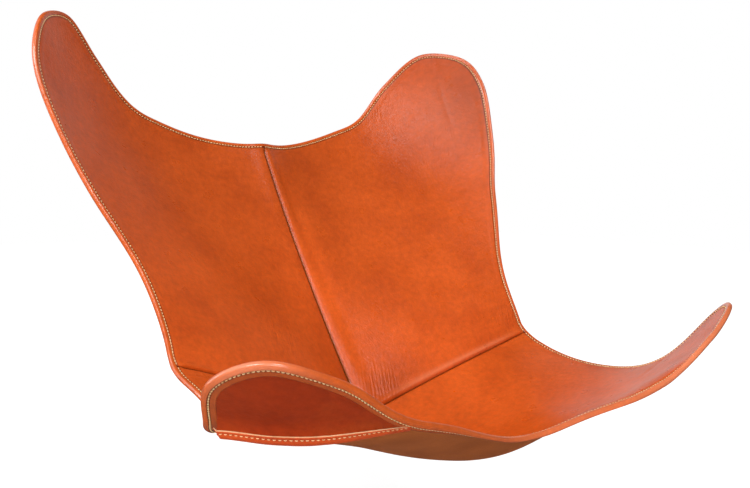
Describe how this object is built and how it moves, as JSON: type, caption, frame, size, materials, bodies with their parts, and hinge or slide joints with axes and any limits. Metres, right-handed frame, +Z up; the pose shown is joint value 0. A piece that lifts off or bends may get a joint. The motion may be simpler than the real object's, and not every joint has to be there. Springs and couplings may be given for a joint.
{
  "type": "butterfly chair sling",
  "caption": "Tan leather sling of a butterfly chair, hung open in its seat shape, with turned stitched edges and a pocket behind each wing for the tips of a frame.",
  "frame": {"origin": "on the plane of symmetry, straight below the crossing of the centre seam and the cross seam, 12 mm below the lowest point of the seat; it is the reference point of the frame that carries the sling", "axes": "+Z up; the sitter faces -Y; +X to the right of a viewer in front of the sling; symmetric about x = 0"},
  "size_m": [0.8526, 0.6964, 0.5953],
  "materials": {
    "panel_leather": "smooth tan saddle leather, waxed grain face",
    "hem_leather": "the same leather turned over and pressed",
    "pocket_leather": "darker red-brown leather",
    "binding_leather": "folded strip of the panel leather with a pale cut edge",
    "tape_leather": "flesh side, matt",
    "thread": "waxed cream thread"
  },
  "bodies": {
    "root": {"back_panel_right": "panel_leather", "back_panel_left": "panel_leather", "seat_panel": "panel_leather", "centre_seam_tape": "tape_leather", "cross_seam_tape_right": "tape_leather", "cross_seam_tape_left": "tape_leather", "back_hem_right": "hem_leather", "back_edge_thread_right": "thread", "back_pocket_right": "pocket_leather", "back_mouth_binding_right": "binding_leather", "back_mouth_thread_right": "thread", "back_hem_left": "hem_leather", "back_edge_thread_left": "thread", "back_pocket_left": "pocket_leather", "back_mouth_binding_left": "binding_leather", "back_mouth_thread_left": "thread", "seat_hem_right": "hem_leather", "seat_edge_thread_right": "thread", "front_pocket_right": "pocket_leather", "front_mouth_binding_right": "binding_leather", "front_mouth_thread_right": "thread", "seat_hem_left": "hem_leather", "seat_edge_thread_left": "thread", "front_pocket_left": "pocket_leather", "front_mouth_binding_left": "binding_leather", "front_mouth_thread_left": "thread"}
  },
  "joints": []
}
